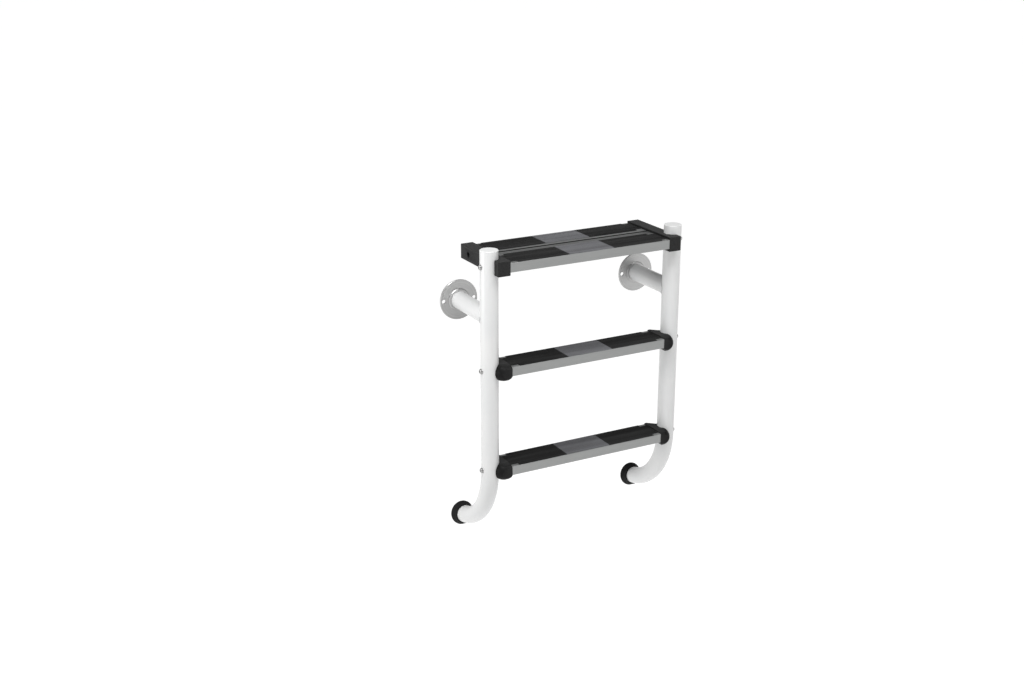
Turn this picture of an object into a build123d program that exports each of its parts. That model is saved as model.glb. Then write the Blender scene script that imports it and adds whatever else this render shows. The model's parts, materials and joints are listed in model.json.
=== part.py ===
"""Wall-fixed lower half of a split pool ladder: two bent tubes, a double top step and two single steps.

Millimetres. X runs across the ladder, Y towards the pool wall, Z up. The origin is on the wall plane,
midway between the two wall flanges, at the height of the two arms.
"""

from build123d import *

import math
import os

# Stringers
GAUGE = 500.0
STANDOFF = 161.0
TUBE_R = 21.5
TUBE_WALL = 2.0
TUBE_TOP = 160.0
DRILL_REACH = 30.0
STEP_PITCH = 250.0
TOP_STEP_Z = 121.5
BEND_START_Z = -380.0
BEND_R = 180.0
BEND_SWEEP = 81.0

# Top plugs
PLUG_T = 2.5
PLUG_SPIGOT = 14.0
PLUG_CHAMFER = 0.8
PLUG_CLEAR = 0.1
PLUG_BORE_R = 15.0

# Wall arms and flanges
ARM_R = 21.0
FLANGE_R = 49.0
FLANGE_T = 4.0
FLANGE_HOLE_R = 5.0
FLANGE_HOLE_SPACING = 80.0
COLLAR_R = 27.5
COLLAR_T = 2.8
FLANGE_CHAMFER = 0.6
COLLAR_CHAMFER = 1.8

# Rubber feet
FOOT_RIM_R = 30.2
FOOT_LIP_R = 24.0
FOOT_BACK = 4.4
FOOT_LEN = 19.4
FOOT_WAIST = (FOOT_LIP_R + 0.9, 2.4)
FOOT_FLARE = (FOOT_LIP_R + 2.6, 9.5)
FOOT_RIM_W = 3.2
FOOT_EDGE_R = 1.2

# Tread extrusion
TREAD_DEPTH = 75.6
TREAD_H = 22.8
TREAD_WALL = 1.8
TREAD_RISE = 1.1
TREAD_CORNER_R = 1.2
BOSS_OFFSET = 1.3
BOSS_HALF = 14.0
SINGLE_HALF = 210.4
DOUBLE_HALF = 215.5
REAR_TREAD_Y = -49.8

# Tread pads
PAD_BASE = 0.7
PAD_RIB = 0.6
PAD_PITCH = 4.5
PAD_RIB_W = 2.8
PAD_GAP = 0.15
PAD_INSET = 0.6
CENTRE_PAD_HALF = 60.0
PAD_BODY_END = 20.0
PAD_NOTCH = 11.0
PAD_TONGUE_END = 1.5

# Joining profile between the two treads of the top step
JOINER_H = 16.0
GROOVE_FRONT = -106.0
GROOVE_REAR = -98.5
GROOVE_DEPTH = 8.0

# End caps of the single steps, measured from the bolt's axis
CAP_FRONT = -39.6
CAP_REAR = 37.0
CAP_LIP_Z = 16.2
CAP_LOW_Z = -21.0
CAP_INNER_LOW_Z = -10.5
CAP_CENTRE_X = 224.5
CAP_CENTRE_Z = -3.2
CAP_R = 22.2
CAP_FLAT_R = 11.0
CAP_SHOULDER_Y = -20.0
CAP_BULGE = 0.61
CAP_HEEL_X = 27.0
CAP_HEEL_Y = 14.0
CAP_HEEL_W = 2.0
CAP_LIP_FRONT = (CAP_FRONT, CAP_LIP_Z - 4.2)
CAP_LIP_RISE_Y = -18.0
CAP_LIP_FALL_Y = 34.0
CAP_LIP_REAR = (CAP_REAR, CAP_LIP_Z - 4.0)
CAP_TAIL_HIGH = (CAP_REAR, -10.0)
CAP_TAIL_MIDDLE = (CAP_REAR - 4.0, -18.6)
CAP_TAIL_LOW = (22.0, CAP_LOW_Z)
CAP_CORNER_W = 8.0
CAP_SPACE = 60.0

# End brackets of the double step
BRACKET_W = 32.2
BRACKET_FRONT = -201.3
BRACKET_REAR = -11.7
BRACKET_LOW = -17.2
BRACKET_HIGH = 18.0
BRACKET_CHAMFER = 1.0
BRACKET_WALL = 4.0
BRACKET_ROOF = 5.0
BRACKET_POCKETS = ((-131.0, -105.0), (-101.0, -73.0), (-34.0, -16.0))

# Tongues that the plastic ends push into the treads
TONGUE_LEN = 20.0
TONGUE_CLEAR = 0.15

# M6 fasteners
BOLT_R = 3.0
BOLT_HOLE_R = 3.3
HEAD_R = 5.25
HEAD_H = 3.3
HEAD_ROUND = 2.0
SOCKET_R = 2.3
SOCKET_DEPTH = 1.8
WASHER_R = 6.5
WASHER_T = 1.6
NUT_R = 5.6
NUT_T = 5.0
NUT_CLEAR = 0.1
NUT_ROOM = 1.0
SADDLE_WASHER_T = 3.0
SUNK_WASHER_CLEAR = 0.4
COUNTERBORE_R = 6.5
COUNTERBORE_DEPTH = 18.0

SIDES = {"left": -1, "right": 1}
TUBE_X = GAUGE / 2
TUBE_Y = -STANDOFF
SINGLE_STEPS = {"step_2": TOP_STEP_Z - STEP_PITCH, "step_3": TOP_STEP_Z - 2 * STEP_PITCH}
FRONT_TREAD_Y = TUBE_Y - BOSS_OFFSET
REAR_SCREW_Y = REAR_TREAD_Y - BOSS_OFFSET
DECK = TREAD_RISE + TREAD_H / 2
TREAD_HALF = TREAD_DEPTH / 2


def along_x(radius, x0, x1, y, z):
    """A cylinder whose axis runs along X from x0 to x1."""
    disc = Plane(origin=(x0, y, z), x_dir=(0, 1, 0), z_dir=(1, 0, 0)) * Circle(radius)
    return extrude(disc, amount=x1 - x0)


def along_y(radius, y0, y1, x, z):
    """A cylinder whose axis runs along Y from y0 to y1."""
    disc = Plane(origin=(x, y0, z), x_dir=(1, 0, 0), z_dir=(0, 1, 0)) * Circle(radius)
    return extrude(disc, amount=y1 - y0)


def block(x0, x1, y0, y1, z0, z1):
    """A box between two opposite corners."""
    centre = Pos((x0 + x1) / 2, (y0 + y1) / 2, (z0 + z1) / 2)
    return centre * Box(abs(x1 - x0), abs(y1 - y0), abs(z1 - z0))


def stringer_path():
    """Centreline of the right-hand stringer: straight down, then one bend back to the wall."""
    top = (TUBE_X, TUBE_Y, TUBE_TOP - PLUG_T)
    bend_start = (TUBE_X, TUBE_Y, BEND_START_Z)
    upright = Line(top, bend_start)
    bend = ThreePointArc(bend_start, bend_point(BEND_SWEEP / 2), bend_point(BEND_SWEEP))
    return Wire([upright, bend])


def bend_point(degrees):
    """Point of the bend's centreline after the given angle."""
    turn = math.radians(degrees)
    return (
        TUBE_X,
        TUBE_Y + BEND_R * (1 - math.cos(turn)),
        BEND_START_Z - BEND_R * math.sin(turn),
    )


def stringer_rod(radius):
    """A round rod that follows the stringer's centreline."""
    path = stringer_path()
    return sweep(Plane(path.position_at(0), z_dir=path.tangent_at(0)) * Circle(radius), path=path)


def stringer():
    """Right-hand bent tube, drilled across for the step bolts."""
    tube = stringer_rod(TUBE_R) - stringer_rod(TUBE_R - TUBE_WALL)
    for z in (TOP_STEP_Z, *SINGLE_STEPS.values()):
        tube -= along_x(BOLT_HOLE_R, TUBE_X - DRILL_REACH, TUBE_X + DRILL_REACH, TUBE_Y, z)
    return tube


def top_plug():
    """Flat closing disc on the stringer's top end, with its spigot inside the tube."""
    disc = Pos(TUBE_X, TUBE_Y, TUBE_TOP - PLUG_T / 2) * Cylinder(TUBE_R, PLUG_T)
    disc = chamfer(disc.edges().sort_by(Axis.Z)[-1], PLUG_CHAMFER)
    spigot_top = TUBE_TOP - PLUG_T
    spigot = Pos(TUBE_X, TUBE_Y, spigot_top - PLUG_SPIGOT / 2)
    disc += spigot * Cylinder(TUBE_R - TUBE_WALL - PLUG_CLEAR, PLUG_SPIGOT)
    return disc - spigot * Cylinder(PLUG_BORE_R, PLUG_SPIGOT)


def wall_arm():
    """Horizontal tube from the stringer to the flange, coped to the stringer."""
    arm = along_y(ARM_R, TUBE_Y, 0, TUBE_X, 0) - along_y(ARM_R - TUBE_WALL, TUBE_Y, 0, TUBE_X, 0)
    arm -= stringer_rod(TUBE_R)
    return arm


def wall_flange():
    """Round plate against the wall, with two fixing holes beside the arm."""
    plate = along_y(FLANGE_R, -FLANGE_T, 0, TUBE_X, 0)
    plate = chamfer(plate.edges().group_by(Axis.Y)[0], FLANGE_CHAMFER)
    plate -= along_y(ARM_R, -FLANGE_T, 0, TUBE_X, 0)
    for side in (-1, 1):
        hole_x = TUBE_X + side * FLANGE_HOLE_SPACING / 2
        plate -= along_y(FLANGE_HOLE_R, -FLANGE_T, 0, hole_x, 0)
    return plate


def flange_collar():
    """Raised welding collar round the arm, bevelled towards the plate."""
    front = -FLANGE_T - COLLAR_T
    ring = along_y(COLLAR_R, front, -FLANGE_T, TUBE_X, 0)
    ring = chamfer(ring.edges().group_by(Axis.Y)[0], COLLAR_CHAMFER)
    return ring - along_y(ARM_R, front, -FLANGE_T, TUBE_X, 0)


def rubber_foot():
    """Flared rubber buffer pushed over the stringer's lower end."""
    turn = math.radians(BEND_SWEEP)
    end = Vector(*bend_point(BEND_SWEEP))
    tangent = Vector(0, math.sin(turn), -math.cos(turn))
    lip = end - tangent * (FOOT_LEN - FOOT_BACK)
    frame = Plane(origin=lip, x_dir=(1, 0, 0), z_dir=tangent)
    rim = (FOOT_RIM_R, FOOT_LEN - FOOT_RIM_W)
    profile = Polyline((0, 0), (FOOT_LIP_R, 0), FOOT_WAIST)
    profile += ThreePointArc(FOOT_WAIST, FOOT_FLARE, rim)
    profile += Polyline(rim, (FOOT_RIM_R, FOOT_LEN), (0, FOOT_LEN), (0, 0))
    face = Plane.XZ * make_face(profile)
    body = frame * revolve(face, axis=Axis.Z)
    body = fillet(body.edges().filter_by(GeomType.CIRCLE).sort_by(Axis.Y)[-1], FOOT_EDGE_R)
    return body - stringer_rod(TUBE_R)


def tread_section():
    """Hollow tread section, depth along the sketch's X and height along its Y."""
    outer = RectangleRounded(TREAD_DEPTH, TREAD_H, TREAD_CORNER_R)
    web_front = BOSS_OFFSET - BOSS_HALF
    web_rear = BOSS_OFFSET + BOSS_HALF
    inner_half = TREAD_HALF - TREAD_WALL
    cells = (
        (-inner_half, web_front - TREAD_WALL),
        (web_front, web_rear),
        (web_rear + TREAD_WALL, inner_half),
    )
    for low, high in cells:
        cell = Pos((low + high) / 2, 0) * Rectangle(high - low, TREAD_H - 2 * TREAD_WALL)
        outer -= cell
    return outer


def tread(half_length, y, z, turned=False):
    """Aluminium tread between its two plastic ends; a turned tread has its web nearer the pool."""
    forward = -1 if turned else 1
    frame = Plane(
        origin=(-forward * half_length, y, z + TREAD_RISE), x_dir=(0, forward, 0), z_dir=(forward, 0, 0)
    )
    return extrude(frame * tread_section(), amount=2 * half_length)


def pad_section():
    """Ribbed strip section, depth along the sketch's X, standing on the sketch's X axis."""
    strip = Pos(0, PAD_BASE / 2) * Rectangle(TREAD_DEPTH - 2 * PAD_INSET, PAD_BASE)
    ribs = int(TREAD_DEPTH / PAD_PITCH)
    for i in range(ribs):
        centre = (i - (ribs - 1) / 2) * PAD_PITCH
        strip += Pos(centre, PAD_BASE + PAD_RIB / 2) * Rectangle(PAD_RIB_W, PAD_RIB)
    return strip


def pad(x0, x1, y, z):
    """One ribbed pad on the tread's deck, from x0 to x1."""
    frame = Plane(origin=(x0, y, z + DECK), x_dir=(0, 1, 0), z_dir=(1, 0, 0))
    return extrude(frame * pad_section(), amount=x1 - x0)


def end_pad(half_length, y, z):
    """Right-hand pad, with its outer corners cut away so that only a tongue meets the end piece."""
    strip = pad(CENTRE_PAD_HALF + PAD_GAP, half_length - PAD_TONGUE_END, y, z)
    notch_x = half_length - PAD_BODY_END
    for side in (-1, 1):
        outer_y = y + side * TREAD_HALF
        inner_y = y + side * (TREAD_HALF - PAD_NOTCH)
        low_y, high_y = sorted((outer_y, inner_y))
        strip -= block(notch_x, half_length, low_y, high_y, z + DECK, z + DECK + PAD_BASE + PAD_RIB)
    return strip


def tongue(half_length, y, z):
    """Block on a plastic end that fills the middle cell of a tread, with its bolt hole and nut pocket."""
    half_y = BOSS_HALF - TONGUE_CLEAR
    half_z = TREAD_H / 2 - TREAD_WALL - TONGUE_CLEAR
    middle = z + TREAD_RISE
    inner_x = half_length - TONGUE_LEN
    body = block(inner_x, half_length, y - half_y, y + half_y, middle - half_z, middle + half_z)
    body -= along_x(BOLT_HOLE_R, inner_x, half_length, y, z)
    return body - nut_prism(NUT_R + NUT_CLEAR, inner_x, inner_x + NUT_T + NUT_ROOM, y, z)


def nut_prism(radius, x0, x1, y, z):
    """A hexagonal prism along X."""
    frame = Plane(origin=(x0, y, z), x_dir=(0, 1, 0), z_dir=(1, 0, 0))
    return extrude(frame * RegularPolygon(radius, 6), amount=x1 - x0)


def cap_dome():
    """Domed nose of the end cap and the straight stretch from the dome's middle back to the tread."""
    shoulder = (CAP_R, CAP_SHOULDER_Y)
    flat_edge = (CAP_FLAT_R, CAP_FRONT)
    middle = (
        CAP_FLAT_R + CAP_BULGE * (CAP_R - CAP_FLAT_R),
        CAP_SHOULDER_Y + CAP_BULGE * (CAP_FRONT - CAP_SHOULDER_Y),
    )
    outline = Polyline((0, CAP_REAR), (0, CAP_FRONT), flat_edge)
    outline += ThreePointArc(flat_edge, middle, shoulder)
    outline += Polyline(shoulder, (CAP_R, CAP_REAR), (0, CAP_REAR))
    half_section = make_face(outline)
    centre = Plane(origin=(CAP_CENTRE_X, 0, CAP_CENTRE_Z))
    dome = revolve(centre * half_section, axis=Axis((CAP_CENTRE_X, 0, CAP_CENTRE_Z), (0, 1, 0)))
    across = Plane(origin=(SINGLE_HALF, 0, CAP_CENTRE_Z), x_dir=(0, 0, 1), z_dir=(-1, 0, 0))
    for section in (half_section, mirror(half_section, about=Plane.YZ)):
        dome += extrude(across * section, amount=SINGLE_HALF - CAP_CENTRE_X)
    return dome


def cap_plan():
    """Top view of the end cap: as deep as the tread, then narrowing at the rear to the tube."""
    inner_x = SINGLE_HALF
    outer_x = CAP_CENTRE_X + CAP_R
    return make_face(
        Polyline(
            (inner_x, CAP_REAR),
            (inner_x, CAP_FRONT),
            (outer_x, CAP_FRONT),
            (outer_x, CAP_SHOULDER_Y),
            (inner_x + CAP_HEEL_X, CAP_HEEL_Y),
            (inner_x + CAP_HEEL_W, CAP_REAR),
            (inner_x, CAP_REAR),
        )
    )


def cap_side():
    """Side view of the end cap: a low lip above the tread, and a flat underside rounded up at the rear."""
    front_low = (CAP_FRONT, CAP_LOW_Z)
    crest = ((CAP_LIP_RISE_Y, CAP_LIP_Z), (CAP_LIP_FALL_Y, CAP_LIP_Z))
    outline = Polyline(front_low, CAP_LIP_FRONT, *crest, CAP_LIP_REAR)
    outline += Line(CAP_LIP_REAR, CAP_TAIL_HIGH)
    outline += ThreePointArc(CAP_TAIL_HIGH, CAP_TAIL_MIDDLE, CAP_TAIL_LOW)
    outline += Line(CAP_TAIL_LOW, front_low)
    return make_face(outline)


def cap_underside():
    """Corner cut away below the cap's inner edge, next to the tread."""
    inner_x = SINGLE_HALF
    inner_edge = (inner_x, CAP_INNER_LOW_Z)
    outer_edge = (inner_x + CAP_CORNER_W, CAP_LOW_Z)
    corner = make_face(Polyline(inner_edge, outer_edge, (inner_x, CAP_LOW_Z), inner_edge))
    frame = Plane(origin=(0, CAP_FRONT, 0), x_dir=(1, 0, 0), z_dir=(0, -1, 0))
    return extrude(frame * corner, amount=CAP_FRONT - CAP_REAR)


def end_cap(z):
    """Right-hand end cap of a single step, saddled to the tube, with its tongue in the tread."""
    top_view = extrude(Plane.XY * cap_plan(), amount=CAP_SPACE / 2, both=True)
    side_frame = Plane(origin=(SINGLE_HALF, 0, 0), x_dir=(0, 1, 0), z_dir=(1, 0, 0))
    side_view = extrude(side_frame * cap_side(), amount=CAP_SPACE)
    body = (cap_dome() & top_view & side_view) - cap_underside()
    body = Pos(0, TUBE_Y, z) * body
    body -= stringer_rod(TUBE_R)
    body -= along_x(BOLT_HOLE_R, SINGLE_HALF, TUBE_X, TUBE_Y, z)
    return body + tongue(SINGLE_HALF, TUBE_Y, z)


def end_bracket():
    """Right-hand end bracket that carries both treads of the top step."""
    inner = DOUBLE_HALF
    outer = DOUBLE_HALF + BRACKET_W
    z = TOP_STEP_Z
    body = block(inner, outer, BRACKET_FRONT, BRACKET_REAR, z + BRACKET_LOW, z + BRACKET_HIGH)
    body = chamfer(body.edges(), BRACKET_CHAMFER)
    body -= stringer_rod(TUBE_R)
    body -= along_x(BOLT_HOLE_R, inner, TUBE_X, TUBE_Y, z)
    body -= along_x(BOLT_HOLE_R, inner, outer, REAR_SCREW_Y, z)
    body -= along_x(COUNTERBORE_R, outer - COUNTERBORE_DEPTH, outer, REAR_SCREW_Y, z)
    pocket_x = (inner + BRACKET_WALL, outer - BRACKET_WALL)
    for low, high in BRACKET_POCKETS:
        body -= block(*pocket_x, low, high, z + BRACKET_LOW, z + BRACKET_HIGH - BRACKET_ROOF)
    body += tongue(inner, TUBE_Y, z)
    body += tongue(inner, REAR_SCREW_Y, z)
    return body


def joiner_section():
    """Section of the joining profile, drawn as depth and height below the treads' decks."""
    front = FRONT_TREAD_Y + TREAD_HALF
    rear = REAR_TREAD_Y - TREAD_HALF
    outer = make_face(
        Polyline(
            (front, 0),
            (GROOVE_FRONT, 0),
            (GROOVE_FRONT, -GROOVE_DEPTH),
            (GROOVE_REAR, -GROOVE_DEPTH),
            (GROOVE_REAR, 0),
            (rear, 0),
            (rear, -JOINER_H),
            (front, -JOINER_H),
            (front, 0),
        )
    )
    return outer - offset(outer, amount=-TREAD_WALL, kind=Kind.INTERSECTION)


def joiner():
    """Grooved aluminium profile that closes the space between the two treads of the top step."""
    frame = Plane(origin=(-DOUBLE_HALF, 0, TOP_STEP_Z + DECK), x_dir=(0, 1, 0), z_dir=(1, 0, 0))
    return extrude(frame * joiner_section(), amount=2 * DOUBLE_HALF)


def button_head(x0, y, z):
    """Rounded screw head standing outwards from x0, with a hexagonal socket."""
    head = along_x(HEAD_R, x0, x0 + HEAD_H, y, z)
    head = fillet(head.edges().group_by(Axis.X)[-1], HEAD_ROUND)
    top = x0 + HEAD_H
    return head - nut_prism(SOCKET_R, top - SOCKET_DEPTH, top, y, z)


def bolt(seat_x, tip_x, y, z):
    """Button-head bolt along X, with its head seated at seat_x and its shank ending at tip_x."""
    return button_head(seat_x, y, z) + along_x(BOLT_R, tip_x, seat_x, y, z)


def saddle_washer(z):
    """Washer shaped to the outside of the right-hand tube."""
    outer = TUBE_X + TUBE_R + WASHER_T
    inner = outer - SADDLE_WASHER_T
    washer = along_x(WASHER_R, inner, outer, TUBE_Y, z) - along_x(BOLT_R, inner, outer, TUBE_Y, z)
    return washer - stringer_rod(TUBE_R)


def flat_washer(y, z):
    """Washer at the bottom of the bracket's counterbore."""
    seat = DOUBLE_HALF + BRACKET_W - COUNTERBORE_DEPTH
    washer = along_x(WASHER_R - SUNK_WASHER_CLEAR, seat, seat + WASHER_T, y, z)
    return washer - along_x(BOLT_R, seat, seat + WASHER_T, y, z)


def nut(half_length, y, z):
    """Nut in the inner end of a tongue."""
    inner_x = half_length - TONGUE_LEN
    return nut_prism(NUT_R, inner_x, inner_x + NUT_T, y, z) - along_x(
        BOLT_R, inner_x, inner_x + NUT_T, y, z
    )


def step_halves():
    """Height and half length of each step."""
    return [(TOP_STEP_Z, DOUBLE_HALF)] + [(z, SINGLE_HALF) for z in SINGLE_STEPS.values()]


def step_bolts():
    """Right-hand bolts through the tube."""
    seat = TUBE_X + TUBE_R + WASHER_T
    return [bolt(seat, half - TONGUE_LEN, TUBE_Y, z) for z, half in step_halves()]


def rear_tread_screws():
    """Right-hand screw of the rear tread, sunk in the bracket."""
    seat = DOUBLE_HALF + BRACKET_W - COUNTERBORE_DEPTH + WASHER_T
    return [bolt(seat, DOUBLE_HALF - TONGUE_LEN, REAR_SCREW_Y, TOP_STEP_Z)]


def bolt_washers():
    """Right-hand saddle washers."""
    return [saddle_washer(z) for z, _ in step_halves()]


def captive_nuts():
    """Right-hand nuts, one in every tongue."""
    nuts = [nut(half, TUBE_Y, z) for z, half in step_halves()]
    return nuts + [nut(DOUBLE_HALF, REAR_SCREW_Y, TOP_STEP_Z)]


def on_side(shape, side):
    """The right-hand shape itself, or its mirror image for the left."""
    return shape if side > 0 else mirror(shape, about=Plane.YZ)


def both_sides(shapes):
    """Right-hand shapes with their mirror images, as one group of separate solids."""
    solids = []
    for side in SIDES.values():
        for shape in shapes:
            solids += on_side(shape, side).solids()
    return Compound(children=solids)


def add_step(nodes, name, half_length, y, z, turned=False):
    """One tread with its left, centre and right pads."""
    nodes[f"{name}_tread"] = tread(half_length, y, z, turned)
    nodes[f"{name}_centre_pad"] = pad(-CENTRE_PAD_HALF, CENTRE_PAD_HALF, y, z)
    for side_name, side in SIDES.items():
        nodes[f"{name}_{side_name}_pad"] = on_side(end_pad(half_length, y, z), side)


def build_nodes():
    """Every sub-part of the ladder, by name."""
    nodes = {}
    sided = {
        "stringer": stringer(),
        "top_plug": top_plug(),
        "wall_arm": wall_arm(),
        "wall_flange": wall_flange(),
        "flange_collar": flange_collar(),
        "rubber_foot": rubber_foot(),
        "step_1_bracket": end_bracket(),
    }
    for step_name, z in SINGLE_STEPS.items():
        sided[f"{step_name}_end_cap"] = end_cap(z)
    for part_name, shape in sided.items():
        for side_name, side in SIDES.items():
            nodes[f"{side_name}_{part_name}"] = on_side(shape, side)

    add_step(nodes, "step_1_front", DOUBLE_HALF, FRONT_TREAD_Y, TOP_STEP_Z)
    add_step(nodes, "step_1_rear", DOUBLE_HALF, REAR_TREAD_Y, TOP_STEP_Z, turned=True)
    nodes["step_1_joiner"] = joiner()
    for step_name, z in SINGLE_STEPS.items():
        add_step(nodes, step_name, SINGLE_HALF, FRONT_TREAD_Y, z)

    nodes["step_bolts"] = both_sides(step_bolts())
    nodes["rear_tread_screws"] = both_sides(rear_tread_screws())
    nodes["saddle_washers"] = both_sides(bolt_washers())
    nodes["sunk_washers"] = both_sides([flat_washer(REAR_SCREW_Y, TOP_STEP_Z)])
    nodes["captive_nuts"] = both_sides(captive_nuts())
    return nodes


os.makedirs("parts", exist_ok=True)
for node_name, node_shape in build_nodes().items():
    export_step(node_shape, f"parts/{node_name}.step")
    print(node_name, len(node_shape.solids()), round(node_shape.volume))
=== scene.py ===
"""Looks of a wall-fixed pool ladder: white tubes, aluminium steps with ribbed pads, black ends and feet."""

import json
import math

import bmesh
import bpy
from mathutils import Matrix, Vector


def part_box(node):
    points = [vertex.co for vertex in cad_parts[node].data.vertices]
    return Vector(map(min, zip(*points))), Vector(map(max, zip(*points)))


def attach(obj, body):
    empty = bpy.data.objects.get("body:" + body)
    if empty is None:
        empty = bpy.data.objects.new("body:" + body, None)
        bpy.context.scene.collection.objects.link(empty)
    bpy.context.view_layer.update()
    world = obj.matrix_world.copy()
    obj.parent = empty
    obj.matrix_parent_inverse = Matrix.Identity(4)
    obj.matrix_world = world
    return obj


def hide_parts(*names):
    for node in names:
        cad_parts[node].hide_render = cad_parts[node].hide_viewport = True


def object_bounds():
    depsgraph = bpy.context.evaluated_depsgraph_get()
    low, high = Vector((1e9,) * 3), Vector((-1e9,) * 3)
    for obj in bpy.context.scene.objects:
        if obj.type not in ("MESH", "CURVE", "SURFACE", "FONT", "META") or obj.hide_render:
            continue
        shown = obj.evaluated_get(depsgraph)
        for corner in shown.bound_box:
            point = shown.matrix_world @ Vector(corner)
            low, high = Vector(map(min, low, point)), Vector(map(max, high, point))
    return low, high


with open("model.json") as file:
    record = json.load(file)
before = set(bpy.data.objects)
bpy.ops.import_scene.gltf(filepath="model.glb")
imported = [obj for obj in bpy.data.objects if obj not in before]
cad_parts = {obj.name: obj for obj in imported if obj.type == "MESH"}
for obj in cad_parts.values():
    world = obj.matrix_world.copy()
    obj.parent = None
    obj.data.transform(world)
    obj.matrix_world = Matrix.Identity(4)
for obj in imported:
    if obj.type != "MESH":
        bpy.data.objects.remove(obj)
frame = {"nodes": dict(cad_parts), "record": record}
CAD_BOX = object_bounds()
BODY = "root"
MM = 0.001
SIDES = ("left", "right")


# ---------------------------------------------------------------- camera, light, floor

CAMERA_PLACE = Vector((-1.6742, -2.9204, 1.0022))
CAMERA_AZIMUTH = 28.26
CAMERA_DOWN = 19.165
LENS_MM = 50.0
SENSOR_MM = 36.0
FLOOR_DROP = 0.45
FLOOR_HALF = 90.0
FLOOR_GLOW = 0.92

# Offset from the ladder's middle in metres, diameter in metres and power in watts
SOFT_BOXES = {
    "soft_box_high_left": ((-0.88, -0.56, 2.1), 0.9, 38.0),
    "soft_box_front": ((0.3, -1.2, 2.2), 1.2, 20.0),
    "soft_box_left": ((-1.3, 0.3, 0.1), 0.5, 4.0),
}

# The room is bright where a direction's height is under BAND_LOW, and dim where it is over BAND_HIGH
BAND_LOW = 0.09
BAND_HIGH = 0.24
BAND_LIGHT = 1.0
ROOM_LIGHT = 0.26


def look(azimuth, down):
    """Unit vector at an azimuth from +Y towards +X and an angle below the horizon, in degrees."""
    a = math.radians(azimuth)
    e = math.radians(down)
    return Vector((math.sin(a) * math.cos(e), math.cos(a) * math.cos(e), -math.sin(e)))


def add_camera():
    """Camera at the product picture's angle."""
    data = bpy.data.cameras.new("camera")
    data.lens = LENS_MM
    data.sensor_width = SENSOR_MM
    data.clip_start = 0.05
    data.clip_end = 200.0
    camera = bpy.data.objects.new("camera", data)
    camera.location = CAMERA_PLACE
    camera.rotation_mode = "QUATERNION"
    camera.rotation_quaternion = look(CAMERA_AZIMUTH, CAMERA_DOWN).to_track_quat("-Z", "Y")
    bpy.context.scene.collection.objects.link(camera)
    bpy.context.scene.camera = camera


def add_soft_light(name, offset, size, power):
    """Round soft box at an offset from the ladder's middle, turned towards it."""
    middle = (CAD_BOX[0] + CAD_BOX[1]) / 2
    data = bpy.data.lights.new(name, "AREA")
    data.shape = "DISK"
    data.size = size
    data.energy = power
    light = bpy.data.objects.new(name, data)
    light.location = middle + Vector(offset)
    aim = middle - light.location
    light.rotation_mode = "QUATERNION"
    light.rotation_quaternion = aim.to_track_quat("-Z", "Y")
    bpy.context.scene.collection.objects.link(light)


def add_studio():
    """Soft boxes, and a room that is bright up to just above the horizon and dim higher up."""
    for name, (offset, size, power) in SOFT_BOXES.items():
        add_soft_light(name, offset, size, power)
    world = bpy.data.worlds.new("studio")
    bpy.context.scene.world = world
    world.use_nodes = True
    tree = world.node_tree
    place = tree.nodes.new("ShaderNodeTexCoord")
    split = tree.nodes.new("ShaderNodeSeparateXYZ")
    fade = tree.nodes.new("ShaderNodeMapRange")
    fade.interpolation_type = "SMOOTHSTEP"
    fade.inputs["From Min"].default_value = BAND_LOW
    fade.inputs["From Max"].default_value = BAND_HIGH
    fade.inputs["To Min"].default_value = BAND_LIGHT
    fade.inputs["To Max"].default_value = ROOM_LIGHT
    tree.links.new(place.outputs["Generated"], split.inputs[0])
    tree.links.new(split.outputs["Z"], fade.inputs["Value"])
    tree.links.new(fade.outputs[0], tree.nodes["Background"].inputs["Strength"])
    tree.nodes["Background"].inputs["Color"].default_value = (1, 1, 1, 1)
    bpy.context.scene.view_settings.view_transform = "Standard"


def add_floor():
    """Plain pale floor below the ladder, with a glow of its own that keeps it even."""
    mesh = bpy.data.meshes.new("floor")
    build = bmesh.new()
    bmesh.ops.create_grid(build, x_segments=2, y_segments=2, size=FLOOR_HALF)
    build.to_mesh(mesh)
    build.free()
    floor = bpy.data.objects.new("floor", mesh)
    floor.location = (0, 0, CAD_BOX[0].z - FLOOR_DROP)
    bpy.context.scene.collection.objects.link(floor)
    material = bpy.data.materials.new("pale_floor")
    material.use_nodes = True
    shader = material.node_tree.nodes["Principled BSDF"]
    shader.inputs["Base Color"].default_value = grey(0.3)
    shader.inputs["Roughness"].default_value = 0.9
    shader.inputs["Specular IOR Level"].default_value = 0.0
    shader.inputs["Emission Color"].default_value = (1, 1, 1, 1)
    shader.inputs["Emission Strength"].default_value = FLOOR_GLOW
    mesh.materials.append(material)


# ---------------------------------------------------------------- materials

# Share of the joiner's depth, front to back, at which the middle of its groove lies
GROOVE_PLACE = 0.6
# Share of the colour kept on the joiner's front strip: painted shade, so the rear strip reads as the lit one
FRONT_STRIP_SHADE = 0.62

# Depths below the joiner's top at which the painted shade of its groove and lower faces begins and is full
GROOVE_SHADE_START = 0.1 * MM
GROOVE_SHADE_FULL = 0.6 * MM


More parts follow.
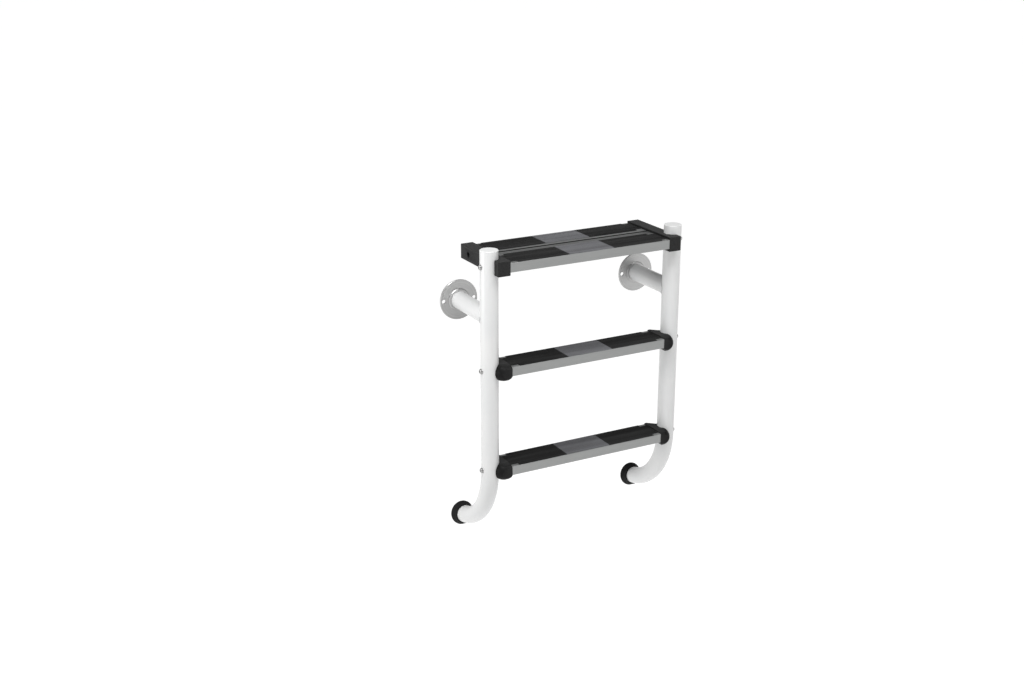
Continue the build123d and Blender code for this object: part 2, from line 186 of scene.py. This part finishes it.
class Finish:
    """One procedural material: a Principled shader and the nodes that feed it."""

    def __init__(self, name, **shader_values):
        self.material = bpy.data.materials.new(name)
        self.material.use_nodes = True
        self.tree = self.material.node_tree
        self.shader = self.tree.nodes["Principled BSDF"]
        for socket, value in shader_values.items():
            self.shader.inputs[socket.replace("_", " ")].default_value = value
        self.place = self.add("ShaderNodeTexCoord").outputs["Object"]

    def add(self, kind, inputs=None, **settings):
        """A new node with its settings and its inputs, each a value or another node's output."""
        node = self.tree.nodes.new(kind)
        for name, value in settings.items():
            setattr(node, name, value)
        for key, value in (inputs or {}).items():
            if isinstance(value, bpy.types.NodeSocket):
                self.tree.links.new(value, node.inputs[key])
            else:
                node.inputs[key].default_value = value
        return node

    def feed(self, socket, value):
        """Links an output to a socket of the shader."""
        self.tree.links.new(value, self.shader.inputs[socket])

    def noise(self, scale, stretch=(1, 1, 1), detail=3.0, rough=0.5):
        """Noise from 0 to 1; scale is in repeats per metre, and stretch multiplies it along each axis."""
        place = self.add("ShaderNodeVectorMath", {0: self.place, 1: stretch}, operation="MULTIPLY")
        inputs = {"Vector": place.outputs[0], "Scale": scale, "Detail": detail, "Roughness": rough}
        return self.add("ShaderNodeTexNoise", inputs).outputs["Fac"]

    def ring_noise(self, radius, scale, detail):
        """Noise from 0 to 1 that changes with a radius only; scale is in repeats per metre."""
        inputs = {"W": radius, "Scale": scale, "Detail": detail}
        return self.add("ShaderNodeTexNoise", inputs, noise_dimensions="1D").outputs["Fac"]

    def spread(self, value, low, high, from_low=0.3, from_high=0.7):
        """The value moved from one range to another."""
        inputs = {
            "Value": value,
            "From Min": from_low,
            "From Max": from_high,
            "To Min": low,
            "To Max": high,
        }
        return self.add("ShaderNodeMapRange", inputs).outputs[0]

    def blend(self, share, first, second):
        """A colour between two, each a colour or another node's output."""
        node = self.add("ShaderNodeMix", data_type="RGBA")
        for key, value in ((0, share), (6, first), (7, second)):
            if isinstance(value, bpy.types.NodeSocket):
                self.tree.links.new(value, node.inputs[key])
            else:
                node.inputs[key].default_value = value
        return node.outputs[2]

    def combine(self, first, second, operation="ADD"):
        """Two numbers joined by an arithmetic operation."""
        return self.add("ShaderNodeMath", {0: first, 1: second}, operation=operation).outputs[0]

    def bump(self, *layers):
        """Surface relief from layers of height, strength and depth in metres."""
        normal = None
        for height, strength, depth in layers:
            inputs = {"Height": height, "Strength": strength, "Distance": depth}
            if normal is not None:
                inputs["Normal"] = normal
            normal = self.add("ShaderNodeBump", inputs).outputs[0]
        self.feed("Normal", normal)

    def edges(self, low, high):
        """0 on flat surface, rising to 1 on outer edges."""
        pointiness = self.add("ShaderNodeNewGeometry").outputs["Pointiness"]
        return self.spread(pointiness, 0.0, 1.0, low, high)

    def joiner_painted_shade(self, bare_colour):
        """The joiner's colour with painted shade: its front strip darkened against the rear one, and its
        groove and lower faces near black.
        """
        low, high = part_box("step_1_joiner")
        place = self.add("ShaderNodeSeparateXYZ", {0: self.place})
        groove_y = low.y + GROOVE_PLACE * (high.y - low.y)
        behind = self.spread(place.outputs["Y"], 0.0, 1.0, groove_y - MM, groove_y + MM)
        # painted shade: the front strip, ahead of the groove, darkened against the rear strip
        scaled = self.add("ShaderNodeVectorMath", {0: bare_colour, "Scale": FRONT_STRIP_SHADE}, operation="SCALE")
        deck = self.blend(behind, scaled.outputs[0], bare_colour)
        # painted shade: a little below the joiner's top, its groove and faces go near black
        above = self.spread(place.outputs["Z"], 0.0, 1.0, high.z - GROOVE_SHADE_FULL, high.z - GROOVE_SHADE_START)
        return self.blend(above, grey(0.006), deck)


def grey(level, tint=(1, 1, 1)):
    """A colour of that level, with a slight tint."""
    return (level * tint[0], level * tint[1], level * tint[2], 1.0)


def white_tube():
    """Satin white powder coat with a fine orange peel."""
    finish = Finish("white_powder_coat", Coat_Weight=0.25, Coat_Roughness=0.2)
    cloud = finish.noise(14.0, detail=4.0)
    bare_colour = grey(0.67, (1, 1, 0.995))
    dusty = grey(0.64, (0.99, 1, 1))
    finish.feed("Base Color", finish.blend(finish.spread(cloud, 0, 1), bare_colour, dusty))
    finish.feed("Roughness", finish.spread(finish.noise(160.0), 0.3, 0.42))
    finish.bump(
        (finish.noise(650.0, detail=2.0), 0.12, 0.00012),
        (finish.noise(4200.0, detail=1.0), 0.05, 0.00003),
    )
    return finish.material


def flange_steel():
    """Turned steel plate: fine rings round each arm's axis."""
    finish = Finish("turned_steel", Metallic=0.9)
    arm_x = sum(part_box("right_wall_arm")[i].x for i in (0, 1)) / 2
    split = finish.add("ShaderNodeSeparateXYZ", {0: finish.place})
    across = finish.combine(finish.combine(split.outputs["X"], 0.0, "ABSOLUTE"), arm_x, "SUBTRACT")
    face = finish.add("ShaderNodeCombineXYZ", {"X": across, "Y": split.outputs["Z"]})
    radius = finish.add("ShaderNodeVectorMath", {0: face.outputs[0]}, operation="LENGTH").outputs["Value"]
    rings = finish.ring_noise(radius, 2600.0, 3.0)
    broad = finish.ring_noise(radius, 320.0, 2.0)
    tone = finish.combine(finish.spread(rings, -0.12, 0.12), finish.spread(broad, 0.35, 0.65))
    finish.feed("Base Color", finish.blend(tone, grey(0.4), grey(0.6, (1, 1, 0.99))))
    finish.feed("Roughness", finish.spread(finish.noise(220.0), 0.36, 0.5))
    finish.bump((rings, 0.35, 0.00006), (finish.noise(1500.0), 0.08, 0.00005))
    return finish.material


def tread_aluminium(name, with_painted_shade=False):
    """Anodised aluminium, brushed along the steps; with_painted_shade is for the joiner, whose groove and
    lower faces get painted shade.
    """
    finish = Finish(name, Metallic=0.88)
    long_lines = finish.noise(1.0, (9, 2400, 2400), detail=3.0, rough=0.6)
    short_lines = finish.noise(1.0, (60, 5200, 5200), detail=2.0)
    cloud = finish.noise(22.0, (0.5, 2, 2), detail=4.0)
    tone = finish.combine(finish.spread(long_lines, -0.25, 0.25), finish.spread(cloud, 0.3, 0.7))
    bare_colour = finish.blend(tone, grey(0.28, (1, 1.02, 1.01)), grey(0.36, (1, 1.015, 1.005)))
    finish.feed("Base Color", finish.joiner_painted_shade(bare_colour) if with_painted_shade else bare_colour)
    finish.feed("Roughness", finish.spread(cloud, 0.4, 0.52))
    finish.bump((long_lines, 0.12, 0.00006), (short_lines, 0.08, 0.00003))
    return finish.material


def black_plastic():
    """Moulded black plastic with a fine spark-eroded grain, and a painted paler sheen on its edges."""
    finish = Finish("moulded_plastic", Specular_IOR_Level=0.08)
    grain = finish.add("ShaderNodeTexVoronoi", {"Vector": finish.place, "Scale": 1500.0}).outputs["Distance"]
    cloud = finish.noise(70.0, detail=4.0)
    body = finish.blend(finish.spread(cloud, 0, 1), grey(0.007), grey(0.010, (1, 1, 1.02)))
    # painted highlight: outer edges turned paler in random patches, as a sheen
    edge_sheen = finish.combine(finish.edges(0.52, 0.6), finish.spread(finish.noise(500.0), 0.3, 1.0), "MULTIPLY")
    finish.feed("Base Color", finish.blend(edge_sheen, body, grey(0.03)))
    finish.feed("Roughness", finish.spread(finish.noise(300.0), 0.42, 0.56))
    finish.bump((grain, 0.22, 0.00006), (finish.noise(2600.0), 0.12, 0.00005))
    return finish.material


def rubber(name, dark, pale, tint=(1, 1, 1)):
    """Matt rubber with a gritty skin and a little dried dust on it."""
    finish = Finish(name, Specular_IOR_Level=0.2)
    grit = finish.add("ShaderNodeTexVoronoi", {"Vector": finish.place, "Scale": 1900.0}).outputs["Distance"]
    cloud = finish.noise(45.0, (0.6, 1.5, 1.5), detail=5.0, rough=0.6)
    streaks = finish.noise(1.0, (2.5, 75, 75), detail=2.0)
    tone = finish.combine(finish.spread(cloud, -0.2, 0.2), finish.spread(streaks, 0.0, 1.0, 0.38, 0.62))
    body = finish.blend(tone, grey(dark, tint), grey(pale, tint))
    speckle = finish.spread(finish.noise(1400.0, detail=2.0), 0.0, 0.45, 0.56, 0.74)
    finish.feed("Base Color", finish.blend(speckle, body, grey(pale * 1.9, tint)))
    finish.feed("Roughness", finish.spread(cloud, 0.62, 0.8))
    finish.bump((grit, 0.3, 0.0001), (finish.noise(3200.0), 0.2, 0.00006))
    return finish.material


def fastener_steel():
    """Stainless screw heads, washers and nuts with faint turning marks."""
    finish = Finish("fastener_steel", Metallic=1.0)
    marks = finish.noise(1.0, (2400, 900, 900), detail=3.0)
    bright = grey(0.5, (1, 0.995, 0.985))
    finish.feed("Base Color", finish.blend(finish.spread(marks, 0, 1), grey(0.34), bright))
    finish.feed("Roughness", finish.spread(finish.noise(900.0), 0.28, 0.42))
    finish.bump((marks, 0.15, 0.00005))
    return finish.material


def make_materials():
    """The Blender material of every slot of the record."""
    return {
        "white_tube": white_tube(),
        "flange_steel": flange_steel(),
        "tread_aluminium": tread_aluminium("brushed_aluminium"),
        "black_plastic": black_plastic(),
        "black_pad": rubber("black_pad_rubber", 0.007, 0.022),
        "grey_pad": rubber("grey_pad_rubber", 0.108, 0.155, (0.975, 0.985, 1.04)),
        "foot_rubber": rubber("foot_rubber", 0.005, 0.008),
        "fastener_steel": fastener_steel(),
    }


def dress_frame(materials):
    """Gives every CAD node the material of its slot, and the joiner its own material with painted shade
    added.
    """
    for part in frame["record"]["subparts"]:
        slots = frame["nodes"][part["node"]].data.materials
        slots.clear()
        slots.append(materials[part["material_slot"]])
    frame["nodes"]["step_1_joiner"].data.materials[0] = tread_aluminium("joiner_aluminium", with_painted_shade=True)


# ---------------------------------------------------------------- pieces

ARM_R = 21.0 * MM
TUBE_R = 21.5 * MM
EDGE_SOFTNESS = 0.8 * MM

# Weld bead: sections round the seam, points round a section, and ripples
WELD_STEPS = 240
WELD_AROUND = 12
WELD_R = 1.9 * MM
WELD_RIPPLE = 0.22 * MM
WELD_RIPPLES = 60

# Rubber foot, along the axis of the tube's end, which points down by FOOT_TILT degrees
FOOT_TILT = 9.0
FOOT_LEN = 19.4 * MM
FOOT_BACK = 4.4 * MM
FOOT_LIP_R = 23.2 * MM
FOOT_LIP_OUT_R = 24.1 * MM
FOOT_NECK_R = 24.6 * MM
FOOT_THROAT_R = 25.2 * MM
FOOT_FLARE_R = 28.9 * MM
FOOT_HOLLOW = 0.9 * MM
FOOT_RIM_R = 30.2 * MM
FOOT_RIM_W = 3.2 * MM
FOOT_EDGE_R = 1.2 * MM
FOOT_DISH = 0.8 * MM
FOOT_DISH_R = (25.0 * MM, 24.0 * MM, 8.0 * MM)
FOOT_RIBS = 44
FOOT_RIB_H = 0.42 * MM
POINTS_PER_RIB = 6
FLARE_STEPS = 9
EDGE_STEPS = 4


def add_piece(name, build, material):
    """A smooth-shaded mesh piece that rides on the ladder."""
    mesh = bpy.data.meshes.new(name)
    bmesh.ops.recalc_face_normals(build, faces=build.faces)
    for face in build.faces:
        face.smooth = True
    build.to_mesh(mesh)
    build.free()
    mesh.materials.append(material)
    piece = bpy.data.objects.new(name, mesh)
    bpy.context.scene.collection.objects.link(piece)
    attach(piece, BODY)
    return piece


def join_rings(build, rings, closed_rings=False):
    """Quads between neighbouring rings of vertices; closed_rings also joins the last ring to the first."""
    last = len(rings) if closed_rings else len(rings) - 1
    for i in range(last):
        first, second = rings[i], rings[(i + 1) % len(rings)]
        for j in range(len(first)):
            k = (j + 1) % len(first)
            build.faces.new((first[j], first[k], second[k], second[j]))


def weld_bead(side):
    """Painted weld bead with fine ripples, round the seam between an arm and its tube."""
    arm_low, arm_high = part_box(f"{side}_wall_arm")
    arm_x = (arm_low.x + arm_high.x) / 2
    tube_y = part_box(f"{side}_stringer")[0].y + TUBE_R
    build = bmesh.new()
    rings = []
    for i in range(WELD_STEPS):
        turn = 2 * math.pi * i / WELD_STEPS
        across = ARM_R * math.cos(turn)
        seam_y = tube_y + math.sqrt(TUBE_R**2 - across**2)
        seam = Vector((arm_x + across, seam_y, ARM_R * math.sin(turn)))
        outward = Vector((math.cos(turn), 0, math.sin(turn)))
        away = Vector((across / TUBE_R, math.sqrt(1 - (across / TUBE_R) ** 2), 0))
        size = WELD_R + WELD_RIPPLE * math.cos(WELD_RIPPLES * turn)
        ring = []
        for j in range(WELD_AROUND):
            angle = 2 * math.pi * j / WELD_AROUND
            spoke = outward * math.cos(angle) + away * math.sin(angle)
            ring.append(build.verts.new(seam + size * spoke))
        rings.append(ring)
    join_rings(build, rings, closed_rings=True)
    add_piece(f"{side}_arm_weld", build, MATERIALS["white_tube"])


def foot_profile():
    """Distance along the foot's axis, radius and rib height, from the bore's floor round to the back."""
    rim_start = FOOT_LEN - FOOT_RIM_W
    points = [
        (FOOT_LEN - FOOT_BACK, TUBE_R, 0),
        (0.6 * MM, TUBE_R, 0),
        (0.15 * MM, TUBE_R + 0.4 * MM, 0),
        (0, FOOT_LIP_R, 0),
        (0.3 * MM, FOOT_LIP_OUT_R, 0),
        (1.2 * MM, FOOT_NECK_R, 0),
        (2.4 * MM, FOOT_THROAT_R, 0),
        (2.8 * MM, FOOT_THROAT_R - 0.5 * MM, 0),
    ]
    for i in range(FLARE_STEPS + 1):
        share = i / FLARE_STEPS
        cone = (FOOT_THROAT_R - 0.3 * MM) * (1 - share) + FOOT_FLARE_R * share
        radius = cone - FOOT_HOLLOW * math.sin(math.pi * share)
        rib = FOOT_RIB_H * min(1, 5 * share, 5 * (1 - share))
        points.append((3.2 * MM + (rim_start - 4.0 * MM) * share, radius, rib))
    points += [
        (rim_start - 0.3 * MM, FOOT_FLARE_R + 0.2 * MM, 0),
        (rim_start, FOOT_RIM_R - 0.5 * MM, 0),
        (rim_start + 0.5 * MM, FOOT_RIM_R, 0),
    ]
    for i in range(EDGE_STEPS + 1):
        turn = math.pi / 2 * i / EDGE_STEPS
        axial = FOOT_LEN - FOOT_EDGE_R * (1 - math.sin(turn))
        points.append((axial, FOOT_RIM_R - FOOT_EDGE_R * (1 - math.cos(turn)), 0))
    outer_r, step_r, inner_r = FOOT_DISH_R
    dish = FOOT_LEN - FOOT_DISH
    points += [(FOOT_LEN, outer_r, 0), (dish, step_r, 0), (dish, inner_r, 0)]
    return points


def rubber_foot(side):
    """Flared rubber foot with fine grip ribs between its neck ring and its rim.

    Its place is worked out from the box of the CAD foot: the rim's rounded rear edge gives the farthest
    point towards the wall, and the rim's front edge gives the highest one.
    """
    low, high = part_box(f"{side}_rubber_foot")
    tilt = math.radians(FOOT_TILT)
    axis = Vector((0, math.cos(tilt), -math.sin(tilt)))
    up = Vector((0, math.sin(tilt), math.cos(tilt)))
    edge_s = FOOT_LEN - FOOT_EDGE_R
    edge_r = FOOT_RIM_R - FOOT_EDGE_R
    mouth = Vector(
        (
            (low.x + high.x) / 2,
            high.y - axis.y * edge_s - up.y * edge_r - FOOT_EDGE_R,
            high.z - axis.z * (FOOT_LEN - FOOT_RIM_W) - up.z * FOOT_RIM_R,
        )
    )
    around = FOOT_RIBS * POINTS_PER_RIB
    build = bmesh.new()
    rings = []
    for along, radius, rib in foot_profile():
        ring = []
        for j in range(around):
            turn = 2 * math.pi * j / around
            size = radius + rib * math.cos(FOOT_RIBS * turn)
            spoke = Vector((math.cos(turn), 0, 0)) + up * math.sin(turn)
            ring.append(build.verts.new(mouth + axis * along + spoke * size))
        rings.append(ring)
    join_rings(build, rings)
    build.faces.new(rings[0])
    build.faces.new(rings[-1])
    foot = add_piece(f"{side}_foot", build, MATERIALS["foot_rubber"])
    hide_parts(f"{side}_rubber_foot")


def soften_edges(node, width):
    """Rounds a CAD node's sharp edges by that width, with a modifier."""
    bevel = frame["nodes"][node].modifiers.new("soft_edges", "BEVEL")
    bevel.width = width
    bevel.segments = 3
    bevel.limit_method = "ANGLE"
    bevel.angle_limit = math.radians(35)
    bevel.harden_normals = True


add_camera()
add_studio()
add_floor()
MATERIALS = make_materials()
dress_frame(MATERIALS)
for ladder_side in SIDES:
    weld_bead(ladder_side)
    rubber_foot(ladder_side)
    soften_edges(f"{ladder_side}_step_1_bracket", EDGE_SOFTNESS)
    for step in ("step_2", "step_3"):
        soften_edges(f"{ladder_side}_{step}_end_cap", EDGE_SOFTNESS)
